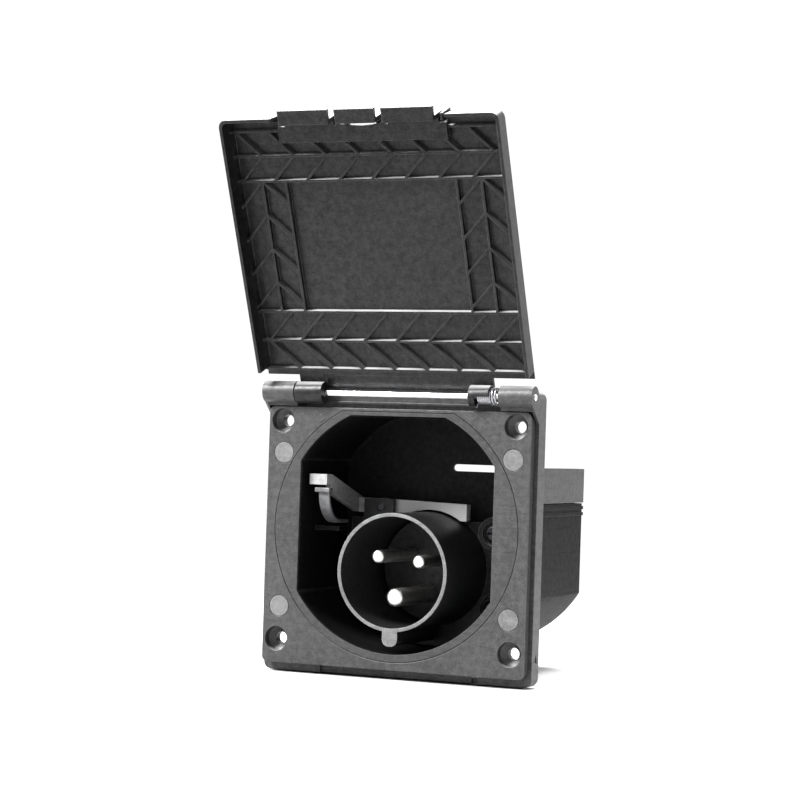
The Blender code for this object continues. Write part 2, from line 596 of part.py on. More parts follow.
def make_lid():
    axis = bpy.data.objects.new("lid_axis", None)
    parts.objects.link(axis)
    axis.matrix_basis = Matrix.Translation(Vector((0, HINGE_Y, HINGE_Z)) * MM)
    axis.matrix_basis = axis.matrix_basis @ Matrix.Rotation(math.radians(-OPEN_ANGLE), 4, "X")
    before = set(parts.objects) | set(cutters.all_objects)

    rings = [(LID_OUTER, 2.4), (LID_OUTER + 0.5, 1.5), (LID_OUTER + 1.6, 0.8), (LID_RIM, 0.0)]
    lid = loft("lid", [(n, lid_outline(inset)) for n, inset in rings])
    low, high = -LID_END + LID_WALL, 20
    flare = LID_WALL + 1.0
    floor = rounded_box(-LID_HALF + flare, LID_HALF - flare, low + 1.8, high, 2.0)
    mouth = rounded_box(-LID_HALF + LID_WALL, LID_HALF - LID_WALL, low, high, 2.0)
    cut(lid, loft("lid_inside", [(LID_FLOOR, floor), (0.2, mouth), (LID_RIM + 1, mouth)]))
    cut(lid, lid_block("lid_wall_end", (-60, 60), (0, 9.3), (LID_FLOOR, 6)))
    cut(lid, lid_block("lid_lip_gap", (-34.3, 35.0), (STRIP_S[1] - 0.2, 115), (LID_FLOOR, 6)))
    edge = (-31.0, 30.6)
    thin = (LID_OUTER + 0.1, LID_FLOOR - 0.1)
    additions = [lid_block("lid_hinge_edge", edge, (0.7, 8.1), thin)]
    strip = (-STRIP_HALF, STRIP_HALF)
    additions.append(lid_block("lid_strip", strip, STRIP_S, (STRIP_FACE - 1.3, STRIP_FACE)))
    brow = (TAB[0] - 2, TAB[1] + 2)
    additions.append(lid_block("lid_brow", brow, (105, 105.9), (STRIP_FACE - 1.3, STRIP_FACE)))
    for end in (-STRIP_HALF + 0.6, -TAB[1] - 1.8, TAB[1] + 1.0, STRIP_HALF - 1.4):
        wide = (end, end + 0.8)
        additions.append(lid_block("lid_strip_leg", wide, STRIP_S, (LID_FLOOR - 0.5, STRIP_FACE - 0.5)))
    for lug in LUGS:
        low = (STRIP_S[1] - 0.8, 108.3)
        additions.append(lid_block("lid_lug_foot", lug, low, (LID_OUTER + 0.5, STRIP_FACE)))
        additions += lug_blocks("lid_lug", lug, LID_OUTER + 0.9)
    additions.append(lid_block("lid_hook", (33.2, 34.1), (107.0, 109.6), (LID_OUTER + 0.5, LUG_FACE - 0.8)))
    for low, high in ((-41.6, -30.4), (30.0, 38.2)):
        additions.append(drum("lid_knuckle", KNUCKLE_RADIUS, low, high, (0, 0), "X", 28))
        web = (LID_OUTER + 0.2, -2.8)
        additions.append(lid_block("lid_knuckle_web", (low, high), (0, 8.4), web))
    fuse_all(lid, lid_ribs() + additions, "Lid ribs and lugs")
    bow = [(TAB[0] - GAP, -115), (TAB[0] - GAP, -105.7), (-4, -104.9), (0.1, -104.6), (4.2, -104.9)]
    bow += [(TAB[1] + GAP, -105.7), (TAB[1] + GAP, -115)]
    cut(lid, prism("lid_tab_gap", [bow], LID_OUTER - 1, 6))
    gap = (TAB[0] - GAP, TAB[1] + GAP)
    cut(lid, lid_block("lid_tab_slot", gap, (98.2, 110), (LID_OUTER - 1, STRIP_FACE - 1.6)))
    cut(lid, lid_block("lid_tab_sill", gap, (98.2, STRIP_S[0]), (LID_OUTER - 1, 2)))
    cut(lid, drum("lid_rod_hole", ROD_RADIUS + 0.3, -50, 50, (0, 0), "X", 20))
    cut(lid, drum("lid_spring_bore", 3.5, 32.4, 39, (0, 0), "X", 24))
    tilt = math.radians(180 - OPEN_ANGLE)
    down, across = Vector((math.sin(tilt), math.cos(tilt))), Vector((math.cos(tilt), -math.sin(tilt)))
    window = [down * a + across * b for a, b in ((0.2, 6), (0.2, -6), (6, -6), (6, 6))]
    cut(lid, prism("lid_spring_window", [window], 32.4, 39, "X"))
    at = (CATCH_N, -CATCH_S)
    cut(lid, drum("lid_catch_hole", 0.75, -12, 12, at, "X", 12))
    lid.data.materials.append(black_plastic)

    catch = lid_block("lid_catch", TAB, (98.6, 108.5), (-4.1, -1.7))
    fuse(catch, *lug_blocks("catch_block", TAB, -3.9))
    cut(catch, lid_block("catch_slot", (TAB[0] + 1.8, TAB[1] - 2.4), (103.2, 106.5), (-6, 0)))
    cut(catch, drum("catch_bore", 0.75, -12, 12, at, "X", 12))
    catch.data.materials.append(black_plastic)
    pin = drum("catch_pin", 0.55, -9.6, 9.6, at, "X", 12)
    pin.data.materials.append(steel)

    made = [o for o in (set(parts.objects) | set(cutters.all_objects)) - before]
    hang_on(axis, *made)
    pivot = bpy.data.objects.new("catch_axis", None)
    parts.objects.link(pivot)
    pivot.location = Vector((0, CATCH_N, -CATCH_S)) * MM
    pivot.parent = axis
    for piece in (catch, *(change.object for change in catch.modifiers)):
        piece.parent = pivot
        piece.matrix_basis = Matrix.Translation(-pivot.location) @ piece.matrix_basis


def coil_points(start, tight, loose, per_turn):
    """A coil round the hinge rod: close turns of one radius, then open turns of a larger one."""
    points = []
    x = start
    for turns, pitch, radius in (tight, loose):
        for _ in range(int(turns * per_turn)):
            angle = 2 * math.pi * len(points) / per_turn - math.pi / 2
            y = HINGE_Y + radius * math.cos(angle)
            points.append((x, y, HINGE_Z + radius * math.sin(angle)))
            x += pitch / per_turn
    return points


def make_hinge():
    rod = drum("hinge_rod", ROD_RADIUS, -54.6, 55.9, (HINGE_Y, HINGE_Z), "X", 20)
    rod.data.materials.append(steel)

    points = coil_points(33.0, (7, 0.78, 2.7), (2.25, 1.25, 3.1), 12)
    last = points[-1]
    leg = [(32.95, HINGE_Y - 1.7, HINGE_Z - 4.3), (32.98, HINGE_Y - 0.8, HINGE_Z - 3.1)]
    tail = [(last[0] + 0.1, last[1] + 0.9, last[2]), (last[0] + 0.1, last[1] + 1.9, last[2] + 0.2)]
    points = [*leg, *points, *tail]
    curve = bpy.data.curves.new("lid_spring", "CURVE")
    curve.dimensions = "3D"
    curve.bevel_depth = 0.42 * MM
    curve.bevel_resolution = 1
    curve.use_fill_caps = True
    spline = curve.splines.new("POLY")
    spline.points.add(len(points) - 1)
    for point, place in zip(spline.points, points):
        point.co = (*(Vector(place) * MM), 1.0)
    spring = bpy.data.objects.new("lid_spring", curve)
    parts.objects.link(spring)
    curve.materials.append(spring_steel)


def make_housing():
    outline = clipped_circle(HOUSING_RADIUS, HOUSING_HALF, HOUSING_TOP)
    housing = prism("terminal_box", [outline], HOUSING_FRONT, HOUSING_BACK)
    wall = 2.2
    room = clipped_circle(HOUSING_RADIUS - wall, HOUSING_HALF - wall, HOUSING_TOP + 1)
    cut(housing, prism("box_room", [room], HOUSING_FRONT + wall, HOUSING_BACK - wall))
    additions = []
    for side in (-1, 1):
        for y in (HOUSING_FRONT + 1, HOUSING_BACK - 7.5):
            near, far = sorted((side * 28.0, side * 34.0))
            low = (near, y, -6.0)
            additions.append(block("box_post", low, (far, y + 6.5, HOUSING_TOP)))
        near, far = sorted((side * (HOUSING_HALF - 1), side * (HOUSING_HALF + 0.6)))
        for z in (5.9, 8.4):
            low = (near, HOUSING_FRONT, z)
            additions.append(block("box_ridge", low, (far, HOUSING_BACK, z + 1.3)))
        near, far = sorted((side * 9.0, side * 14.0))
        low = (near, 62.0, -47.0)
        additions.append(block("box_clamp_post", low, (far, 70.0, -21.0)))
    for at in EARS:
        additions.append(drum("box_screw_boss", 4.4, HOUSING_FRONT, 44.0, at, sides=20))
    additions.append(drum("box_gland_pad", 15.0, 80.0, HOUSING_BACK + 1.0, (0, GLAND_Z), sides=32))
    fuse_all(housing, additions, "Box posts and ridges")
    back_hole = drum("box_front_hole", CARRIER_RADIUS + 0.5, 34, 39, (0, INLET_Z), sides=40)
    cut(housing, back_hole)
    cut(housing, drum("box_gland_hole", 9.3, 78, 88, (0, GLAND_Z), sides=28))
    for at in EARS:
        cut(housing, drum("box_screw_hole", 2.0, 34, 43.0, at, sides=12))
    for side in (-1, 1):
        clamp = (side * 11.5, 66.0)
        cut(housing, drum("box_clamp_hole", 1.6, -34, -20, clamp, "Z", 12))
        for y in (40.0, 80.6):
            cut(housing, drum("box_cap_hole", 1.6, 2, 16, (side * 31.0, y), "Z", 12))
    housing.data.materials.append(black_plastic)

    front, back = HOUSING_FRONT, HOUSING_BACK
    low = (-HOUSING_HALF - 0.6, front, HOUSING_TOP + GAP)
    cap = block("terminal_cap", low, (HOUSING_HALF + 0.6, back, CAP_TOP))
    for side in (-1, 1):
        near, far = sorted((side * 36.5, side * (HOUSING_HALF + 0.6)))
        low = (near, front, CAP_TOP - 1)
        fuse(cap, block("cap_fence", low, (far, back, FENCE_TOP)))
    inner = HOUSING_HALF - wall
    low = (-inner, front + wall, HOUSING_TOP - 1)
    cut(cap, block("cap_room", low, (inner, back - wall, CAP_TOP - 2.2)))
    for side in (-1, 1):
        for y in (40.0, 80.6):
            cut(cap, drum("cap_hole", 1.8, 14, 24, (side * 31.0, y), "Z", 16))
    cap.data.materials.append(grey_plastic)

    number = 0
    for x in (-31.0, 31.0):
        for y in (40.0, 80.6):
            number += 1
            profile = screw_profile(2.9, 1.7, 1.35, 0.0, 15.5)
            turned_down = [(r, CAP_TOP + 1.9 - place) for r, place in profile]
            screw = turned(f"cap_screw_{number}", turned_down, (x, y), "Z", 16)
            screw.data.materials.append(steel)


def make_cable_entry():
    back = HOUSING_BACK + 1.0
    at = (0, GLAND_Z)
    profile = [(6.0, 80.0), (9.0, 80.0), (9.0, back + 0.3), (12.5, back + 0.3)]
    profile += [(12.5, back + 4.3), (9.4, back + 4.3), (9.4, back + 9.0), (6.0, back + 9.0)]
    body = turned("gland_body", profile, at, sides=28, closed=True)
    body.data.materials.append(black_plastic)
    nut = [(9.8, back + 4.6), (12.2, back + 4.6), (12.2, back + 9.5), (10.0, back + 13.0)]
    nut += [(5.2, back + 14.0), (5.2, back + 12.4), (9.8, back + 10.2)]
    ring = turned("gland_nut", nut, at, sides=28, closed=True)
    ring.data.materials.append(black_plastic)
    seal = [(4.5, 82.0), (5.7, 82.0), (5.7, back + 11.5), (4.5, back + 11.5)]
    ring = turned("gland_seal", seal, at, sides=24, closed=True)
    ring.data.materials.append(black_rubber)
    locknut = [(9.4, 77.0), (13.0, 77.0), (13.0, 79.7), (9.4, 79.7)]
    ring = turned("gland_locknut", locknut, at, sides=24, closed=True)
    ring.data.materials.append(black_plastic)

    bar = [(-14.5, -20.7), (14.5, -20.7), (14.5, -16.7), (6.0, -16.7)]
    bar += arc(5.5, 0, 180, 10, (0, -16.0))[1:-1]
    bar += [(-6.0, -16.7), (-14.5, -16.7)]
    bar[4:-2] = [(x, z) for x, z in arc(4.6, -10, -170, 8, (0, -15.2))]
    clamp = prism("cord_clamp", [bar], 62.0, 70.0)
    for side in (-1, 1):
        hole = drum("clamp_hole", 1.8, -22, -15, (side * 11.5, 66.0), "Z", 16)
        cut(clamp, hole)
    clamp.data.materials.append(grey_plastic)
    for number, x in enumerate((-11.5, 11.5), 1):
        profile = screw_profile(2.6, 1.6, 1.35, 0.0, 13.0)
        down = [(r, -16.5 + 1.7 - place) for r, place in profile]
        screw = turned(f"clamp_screw_{number}", down, (x, 66.0), "Z", 16)
        screw.data.materials.append(steel)


for leftover in list(bpy.data.objects):
    bpy.data.objects.remove(leftover)
parts = make_collection("inlet_box")
cutters = make_collection("cutters")
cutters.hide_render = True
black_plastic = material("black_plastic", (0.045, 0.045, 0.047), 0.5)
grey_plastic = material("grey_plastic", (0.42, 0.43, 0.44), 0.45)
black_rubber = material("black_rubber", (0.02, 0.02, 0.02), 0.8)
steel = material("zinc_steel", (0.75, 0.76, 0.78), 0.25, 1.0)
spring_steel = material("spring_steel", (0.6, 0.61, 0.63), 0.3, 1.0)
nickel = material("nickel_plate", (0.85, 0.84, 0.82), 0.18, 1.0)
brass = material("brass", (0.8, 0.62, 0.28), 0.3, 1.0)
make_frame()
make_bowl()
make_inlet()
make_lever()
make_lid()
make_hinge()
make_housing()
make_cable_entry()
bpy.context.view_layer.update()
for piece in parts.objects:
    if piece.type == "MESH" and not piece.hide_render:
        piece.data.shade_smooth()
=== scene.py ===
"""Looks for the flush mains inlet box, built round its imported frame. Lengths are in metres."""

import json
import math

import bmesh
import bpy
import numpy as np
from mathutils import Matrix, Vector


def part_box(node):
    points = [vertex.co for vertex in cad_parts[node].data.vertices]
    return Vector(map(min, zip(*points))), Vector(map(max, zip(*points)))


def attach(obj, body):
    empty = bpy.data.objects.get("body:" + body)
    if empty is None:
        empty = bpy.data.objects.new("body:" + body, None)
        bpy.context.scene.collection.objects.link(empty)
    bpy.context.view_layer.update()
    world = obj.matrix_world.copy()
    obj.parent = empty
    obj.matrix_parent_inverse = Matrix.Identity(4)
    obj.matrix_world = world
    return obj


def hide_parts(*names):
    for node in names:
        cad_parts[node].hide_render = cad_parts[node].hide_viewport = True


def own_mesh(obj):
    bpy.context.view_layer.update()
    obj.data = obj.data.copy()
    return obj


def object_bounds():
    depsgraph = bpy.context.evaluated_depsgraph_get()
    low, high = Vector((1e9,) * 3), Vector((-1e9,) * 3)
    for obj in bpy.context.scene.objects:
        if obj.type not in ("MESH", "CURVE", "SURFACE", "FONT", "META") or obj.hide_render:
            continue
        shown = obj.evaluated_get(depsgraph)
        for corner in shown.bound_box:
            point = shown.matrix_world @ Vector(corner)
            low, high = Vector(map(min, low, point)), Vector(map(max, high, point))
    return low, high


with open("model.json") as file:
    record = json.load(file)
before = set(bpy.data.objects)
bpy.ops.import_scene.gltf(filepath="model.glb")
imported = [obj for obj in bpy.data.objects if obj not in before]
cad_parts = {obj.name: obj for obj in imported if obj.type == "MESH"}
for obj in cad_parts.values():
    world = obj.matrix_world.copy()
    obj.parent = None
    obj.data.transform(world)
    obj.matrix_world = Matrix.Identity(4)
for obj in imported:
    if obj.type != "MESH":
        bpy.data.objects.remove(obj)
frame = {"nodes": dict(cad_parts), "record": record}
cad_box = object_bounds()

MM = 0.001
AZIMUTH = 23.46
ELEVATION = -1.16
ROLL = 1.90
DISTANCE = 0.8607
TARGET = Vector((-1.8, -6.0, 49.35)) * MM
LENS = 101.5
HINGE = Vector((0, -12.5, 51.3)) * MM
WHITE = 1.06  # strength of the backdrop's glow, just past paper white
CROSS_ARMS = 4
ARM_WIDTH = 0.30  # share of each quarter turn that an arm of the cross takes
KNURLS = 18


def place_camera():
    a = math.radians(AZIMUTH)
    e = math.radians(ELEVATION)
    back = Vector((math.sin(a) * math.cos(e), -math.cos(a) * math.cos(e), math.sin(e)))
    right = Vector((math.cos(a), math.sin(a), 0))
    up = back.cross(right)
    basis = Matrix((right, up, back)).transposed().to_4x4()
    data = bpy.data.cameras.new("camera")
    data.lens = LENS
    data.sensor_width = 36
    camera = bpy.data.objects.new("camera", data)
    bpy.context.scene.collection.objects.link(camera)
    roll = Matrix.Rotation(math.radians(ROLL), 4, "Z")
    camera.matrix_world = Matrix.Translation(TARGET + back * DISTANCE) @ basis @ roll
    bpy.context.scene.camera = camera


def area_light(name, place, aim, size, power):
    data = bpy.data.lights.new(name, "AREA")
    data.shape = "RECTANGLE"
    data.size, data.size_y = size
    data.energy = power
    light = bpy.data.objects.new(name, data)
    bpy.context.scene.collection.objects.link(light)
    light.location = place
    light.rotation_euler = (Vector(aim) - Vector(place)).to_track_quat("-Z", "Y").to_euler()


def light_scene():
    world = bpy.data.worlds.new("studio")
    bpy.context.scene.world = world
    world.use_nodes = True
    shade = world.node_tree.nodes["Background"]
    shade.inputs["Color"].default_value = (1, 1, 1, 1)
    shade.inputs["Strength"].default_value = 0.34
    area_light("key", (-0.95, -1.05, 1.35), (0, 0, 0.03), (0.55, 0.55), 112)
    area_light("top", (0.1, 0.45, 1.4), (0, 0, 0.08), (0.9, 0.7), 60)
    area_light("left", (-1.5, 0.1, 0.2), (0, 0, 0.03), (0.6, 1.2), 20)
    area_light("edge", (1.15, 0.35, 0.75), (0, 0, 0.12), (0.5, 0.7), 16)


class Graph:
    """A node tree being written: each call adds one node and returns the socket asked for."""

    def __init__(self, tree):
        self.tree = tree

    def add(self, kind, out=0, settings=(), **inputs):
        node = self.tree.nodes.new("ShaderNode" + kind)
        for key, value in dict(settings).items():
            setattr(node, key, value)
        for key, value in inputs.items():
            key = key.replace("_", " ")
            numbered = key[0] == "i" and key[1:].isdigit()
            socket = node.inputs[int(key[1:])] if numbered else node.inputs[key]
            if isinstance(value, bpy.types.NodeSocket):
                self.tree.links.new(value, socket)
            else:
                socket.default_value = value
        return node.outputs[out]

    def maths(self, operation, a, b=0.0, clamp=False):
        return self.add("Math", 0, {"operation": operation, "use_clamp": clamp}, i0=a, i1=b)

    def between(self, value, low, high, to_low=0.0, to_high=1.0):
        settings = {"clamp": True}
        return self.add("MapRange", 0, settings, i0=value, i1=low, i2=high, i3=to_low, i4=to_high)

    def blend(self, share, one, other):
        node = self.tree.nodes.new("ShaderNodeMix")
        node.data_type = "RGBA"
        for socket, value in ((node.inputs[0], share), (node.inputs[6], one), (node.inputs[7], other)):
            if isinstance(value, bpy.types.NodeSocket):
                self.tree.links.new(value, socket)
            else:
                socket.default_value = value
        return node.outputs[2]


def grey(level):
    return (level, level, level, 1.0)


def new_material(name):
    made = bpy.data.materials.new(name)
    made.use_nodes = True
    return made, Graph(made.node_tree), made.node_tree.nodes["Principled BSDF"]


def link(graph, shader, **sockets):
    for key, value in sockets.items():
        graph.tree.links.new(value, shader.inputs[key.replace("_", " ")])


def plastic(name, level, rough, grain=0.35, edge=0.25, specular=0.5, painted_top_light=0.0, painted_light_past=None,
            mottle=0.16, round_by=0.00032):
    """Moulded plastic: eroded grain, flow clouding, rounded corners, corners painted lighter (darker for a
    negative edge) as wear and as a painted highlight, and a painted highlight on what faces up. deep is
    (level, from, to, axis): painted light and shade, the level that the piece takes on past there."""
    made, g, shader = new_material(name)
    where = g.add("TexCoord", 3)
    cloud = g.add("TexNoise", 0, Vector=where, Scale=38.0, Detail=5.0, Roughness=0.6)
    fine = g.add("TexNoise", 0, Vector=where, Scale=1500.0, Detail=2.0, Roughness=0.55)
    cells = g.add("TexVoronoi", 0, Vector=where, Scale=1900.0)
    smear = g.add("Mapping", 0, Vector=where, Scale=(60.0, 60.0, 900.0), Rotation=(0.4, 0.2, 0.7))
    streak = g.add("TexNoise", 0, Vector=smear, Scale=1.0, Detail=3.0, Roughness=0.7)
    bevel = g.add("Bevel", 0, {"samples": 6}, Radius=round_by)
    flat = g.add("NewGeometry", 3)
    dot = g.add("VectorMath", 1, {"operation": "DOT_PRODUCT"}, i0=bevel, i1=flat)
    corner = g.between(dot, 0.995, 0.72)
    patchy = g.between(g.add("TexNoise", 0, Vector=where, Scale=160.0, Detail=4.0), 0.36, 0.66)
    edge_wear_and_highlight = g.maths("MULTIPLY", corner, g.maths("ADD", 0.35, g.maths("MULTIPLY", patchy, 0.65)))
    base = g.blend(g.between(cloud, 0.3, 0.7), grey(level * (1 - mottle)), grey(level * (1 + mottle)))
    blotch = g.add("TexNoise", 0, Vector=where, Scale=430.0, Detail=3.0, Roughness=0.6)
    share = g.maths("MULTIPLY", g.between(blotch, 0.42, 0.68), min(1.0, mottle * 2.4))
    base = g.blend(share, base, grey(level * 1.5))
    base = g.blend(g.maths("MULTIPLY", g.between(fine, 0.45, 0.75), 0.45), base, grey(level * 1.8))
    drawn_out = g.maths("MULTIPLY", g.between(streak, 0.5, 0.7), min(1.0, mottle * 1.8))
    base = g.blend(drawn_out, base, grey(level * 0.55))
    sheen = g.maths("ADD", g.between(blotch, 0.35, 0.65, 0.7, 1.1), g.between(fine, 0.35, 0.7, -0.15, 0.25))
    # Painted light and shade by place: past the given coordinate the colour moves to another level, darker
    # inside the bowl and the shroud, lighter on the lever's bar.
    if painted_light_past:
        other, start, end, axis = painted_light_past
        depth = g.add("SeparateXYZ", axis, i0=where)
        shade = g.blend(g.between(cloud, 0.3, 0.7), grey(other * 0.85), grey(other * 1.15))
        base = g.blend(g.between(depth, start, end), base, shade)
    # Corners painted lighter, partly as edge wear and partly as a painted highlight standing in for edge
    # glints; a negative edge paints them darker instead.
    edge_wear_and_highlight_level = min(0.9, level * 2.0 + edge * 0.28) if edge > 0 else level * 0.3
    base = g.blend(g.maths("MULTIPLY", edge_wear_and_highlight, min(1.0, abs(edge) * 1.6), True), base, grey(edge_wear_and_highlight_level))
    # Painted highlight: faces that turn up in the piece's own frame are painted light grey, standing in for
    # top light on rib crests and ledges.
    if painted_top_light:
        own = {"vector_type": "NORMAL", "convert_from": "WORLD", "convert_to": "OBJECT"}
        up = g.add("SeparateXYZ", 2, i0=g.add("VectorTransform", 0, own, Vector=bevel))
        painted_top_light_mask = g.maths("MULTIPLY", g.between(up, 0.60, 0.85), g.between(patchy, 0.0, 1.0, 0.75, 1.0))
        base = g.blend(g.maths("MULTIPLY", painted_top_light_mask, painted_top_light, True), base, grey(0.42))
    coarse = g.maths("ADD", rough - 0.05, g.maths("MULTIPLY", cloud, 0.06))
    coarse = g.maths("ADD", coarse, g.maths("MULTIPLY", g.between(streak, 0.55, 0.7), 0.05))
    coarse = g.maths("SUBTRACT", coarse, g.maths("MULTIPLY", edge_wear_and_highlight, 0.1), True)
    height = g.maths("ADD", fine, g.maths("MULTIPLY", cells, 0.5))
    bump = g.add("Bump", 0, Strength=grain, Distance=0.00004, Height=height, Normal=bevel)
    glint = g.maths("MULTIPLY", sheen, specular)
    link(g, shader, Base_Color=base, Roughness=coarse, Normal=bump, Specular_IOR_Level=glint)
    return made


def metal(name, colour, rough, brushed=(900.0, 900.0, 60.0), tarnish=0.25, metallic=1.0):
    """Plated or drawn metal: fine lines along the piece, cloudy plating and dull spots."""
    made, g, shader = new_material(name)
    where = g.add("TexCoord", 3)
    lines = g.add("Mapping", 0, Vector=where, Scale=brushed)
    line = g.add("TexNoise", 0, Vector=lines, Scale=3.0, Detail=3.0, Roughness=0.6)
    cloud = g.add("TexNoise", 0, Vector=where, Scale=220.0, Detail=5.0, Roughness=0.65)
    spot = g.between(g.add("TexNoise", 0, Vector=where, Scale=900.0, Detail=2.0), 0.62, 0.74)
    dull = tuple(c * 0.55 for c in colour)
    share = g.maths("MULTIPLY", g.between(cloud, 0.45, 0.75), tarnish)
    base = g.blend(share, (*colour, 1.0), (*dull, 1.0))
    base = g.blend(g.maths("MULTIPLY", spot, tarnish * 0.6), base, (*dull, 1.0))
    coarse = g.maths("ADD", rough - 0.04, g.maths("MULTIPLY", line, 0.08))
    coarse = g.maths("ADD", coarse, g.maths("MULTIPLY", share, 0.3))
    bevel = g.add("Bevel", 0, {"samples": 4}, Radius=0.00015)
    bump = g.add("Bump", 0, Strength=0.25, Distance=0.00001, Height=line, Normal=bevel)
    link(g, shader, Base_Color=base, Roughness=coarse, Normal=bump)
    shader.inputs["Metallic"].default_value = metallic
    return made


def rubber(name):
    made, g, shader = new_material(name)
    where = g.add("TexCoord", 3)
    cloud = g.add("TexNoise", 0, Vector=where, Scale=120.0, Detail=4.0)
    bloom = g.between(g.add("TexNoise", 0, Vector=where, Scale=700.0, Detail=3.0), 0.5, 0.8)
    base = g.blend(g.maths("MULTIPLY", bloom, 0.35), grey(0.012), grey(0.05))
    coarse = g.between(cloud, 0.2, 0.8, 0.68, 0.85)
    bump = g.add("Bump", 0, Strength=0.5, Distance=0.00006, Height=bloom)
    link(g, shader, Base_Color=base, Roughness=coarse, Normal=bump)
    shader.inputs["Specular IOR Level"].default_value = 0.3
    return made


def soften(obj, limit=34):
    """Shades a triangle mesh as curved where its faces meet below the limit, in degrees."""
    mesh = obj.data
    threshold = math.cos(math.radians(limit))
    places = [tuple(np.round(np.array(v.co) * 1e6).astype(int)) for v in mesh.vertices]
    faces = [(np.array(p.normal), p.area, list(p.vertices)) for p in mesh.polygons]
    round_about = {}
    for normal, area, corners in faces:
        for corner in corners:
            round_about.setdefault(places[corner], []).append((normal, area))
    packed = {}
    for place, found in round_about.items():
        packed[place] = (np.array([n for n, _ in found]), np.array([a for _, a in found]))
    normals = []
    for normal, _, corners in faces:
        for corner in corners:
            near, areas = packed[places[corner]]
            weight = np.where(near @ normal > threshold, areas, 0.0)
            total = (near * weight[:, None]).sum(0)
            length = np.linalg.norm(total)
            normals.append(tuple(total / length) if length > 0 else tuple(normal))
    mesh.shade_smooth()
    mesh.normals_split_custom_set(normals)


def dress(names, material):
    """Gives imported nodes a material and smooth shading, with their meshes left as they are."""
    for name in names:
        obj = frame["nodes"][name]
        obj.data.materials.clear()
        obj.data.materials.append(material)
        soften(obj)


def body_of_node(name):
    for body, nodes in frame["record"]["behaviour"]["bodies"].items():
        if name in nodes:
            return body
    return "box"


def plain_object(name, shape):
    mesh = bpy.data.meshes.new(name)
    shape.to_mesh(mesh)
    shape.free()
    obj = bpy.data.objects.new(name, mesh)
    bpy.context.scene.collection.objects.link(obj)
    return obj


def finish_mesh(name, shape, material, nodes, smooth=40):
    """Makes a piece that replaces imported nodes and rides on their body."""
    bmesh.ops.recalc_face_normals(shape, faces=shape.faces)
    obj = plain_object(name, shape)
    mesh = obj.data
    mesh.materials.append(material)
    mesh.shade_smooth()
    mesh.set_sharp_from_angle(angle=math.radians(smooth))
    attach(obj, body_of_node(nodes[0]))
    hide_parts(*nodes)
    return obj


def lathe(shape, profile, centre, axis, sides=48, spread=None):
    """Turns (radius, place) points round an axis through centre. spread(angle, radius, place)
    alters a radius where the shape isn't round."""
    turns = {"X": (1, 2, 0), "Y": (0, 2, 1), "Z": (0, 1, 2)}[axis]
    rows = []
    for radius, place in profile:
        row = []
        for k in range(sides if radius > 0 else 1):
            angle = 2 * math.pi * k / sides
            r = spread(angle, radius, place) if spread else radius
            point = [0.0, 0.0, 0.0]
            point[turns[0]] = centre[turns[0]] + r * math.cos(angle)
            point[turns[1]] = centre[turns[1]] + r * math.sin(angle)
            point[turns[2]] = place
            row.append(shape.verts.new(point))
        rows.append(row)
    for one, other in zip(rows, rows[1:]):
        for k in range(sides):
            j = (k + 1) % sides
            if len(one) == 1:
                shape.faces.new((one[0], other[j], other[k]))
            elif len(other) == 1:
                shape.faces.new((one[k], one[j], other[0]))
            else:
                shape.faces.new((one[k], one[j], other[j], other[k]))
    return rows


def cross_screw(node, axis, way, material):
    """A screw with a domed head and a cross recess, in the space that its plain CAD solid holds.
    way is +1 where the head is at the low end of the axis."""
    low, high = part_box(node)
    index = "XYZ".index(axis)
    centre = (low + high) / 2
    start, end = (low[index], high[index]) if way > 0 else (high[index], low[index])
    others = [i for i in range(3) if i != index]
    head = (high[others[0]] - low[others[0]]) / 2
    length = abs(end - start)
    shank = head * 0.46
    high_head = head * 0.6
    recess, depth = head * 0.62, high_head * 0.75

    def place(v):
        return start + way * v

    def cross(angle, radius, at):
        if radius >= recess * 0.999:
            return radius
        turn = (angle * CROSS_ARMS / (2 * math.pi)) % 1.0
        near = abs(turn - 0.5) * 2
        return radius if near > 1 - ARM_WIDTH else min(radius, recess * 0.36)

    profile = [(0.0, place(depth)), (recess * 0.30, place(depth * 0.96))]
    profile += [(recess * 0.9, place(0.20 * high_head)), (recess, place(0.06 * high_head))]
    for k in range(1, 8):
        a = math.pi / 2 * k / 7
        r = recess + (head - recess) * math.sin(a)
        profile.append((r, place(high_head * (0.06 + 0.84 * (1 - math.cos(a))))))
    profile += [(head * 0.97, place(high_head)), (shank, place(high_head))]
    pitch = shank * 0.75
    at = high_head + pitch
    while at < length - pitch * 1.5:
        profile += [(shank * 0.80, place(at)), (shank, place(at + pitch * 0.5))]
        at += pitch
    profile += [(shank * 0.8, place(length - pitch)), (shank * 0.35, place(length)), (0.0, place(length))]
    shape = bmesh.new()
    lathe(shape, profile, centre, axis, 48, cross)
    return finish_mesh(node + "_cross_head", shape, material, [node], 30)


def round_pin(node, axis, material, dome=0.5, way=1, label="_turned"):
    """A plain pin with a rounded nose and a small chamfer at its far end."""
    low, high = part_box(node)
    index = "XYZ".index(axis)
    centre = (low + high) / 2
    other = 0 if index else 1
    radius = (high[other] - low[other]) / 2
    start, end = (low[index], high[index]) if way > 0 else (high[index], low[index])
    profile = [(0.0, start)]
    nose = radius * dome
    for k in range(1, 9):
        a = math.pi / 2 * k / 8
        profile.append((radius - nose + nose * math.sin(a), start + way * nose * (1 - math.cos(a))))
    profile += [(radius, end - way * 0.0003), (radius - 0.0003, end), (0.0, end)]
    shape = bmesh.new()
    lathe(shape, profile, centre, axis, 56)
    return finish_mesh(node + label, shape, material, [node])


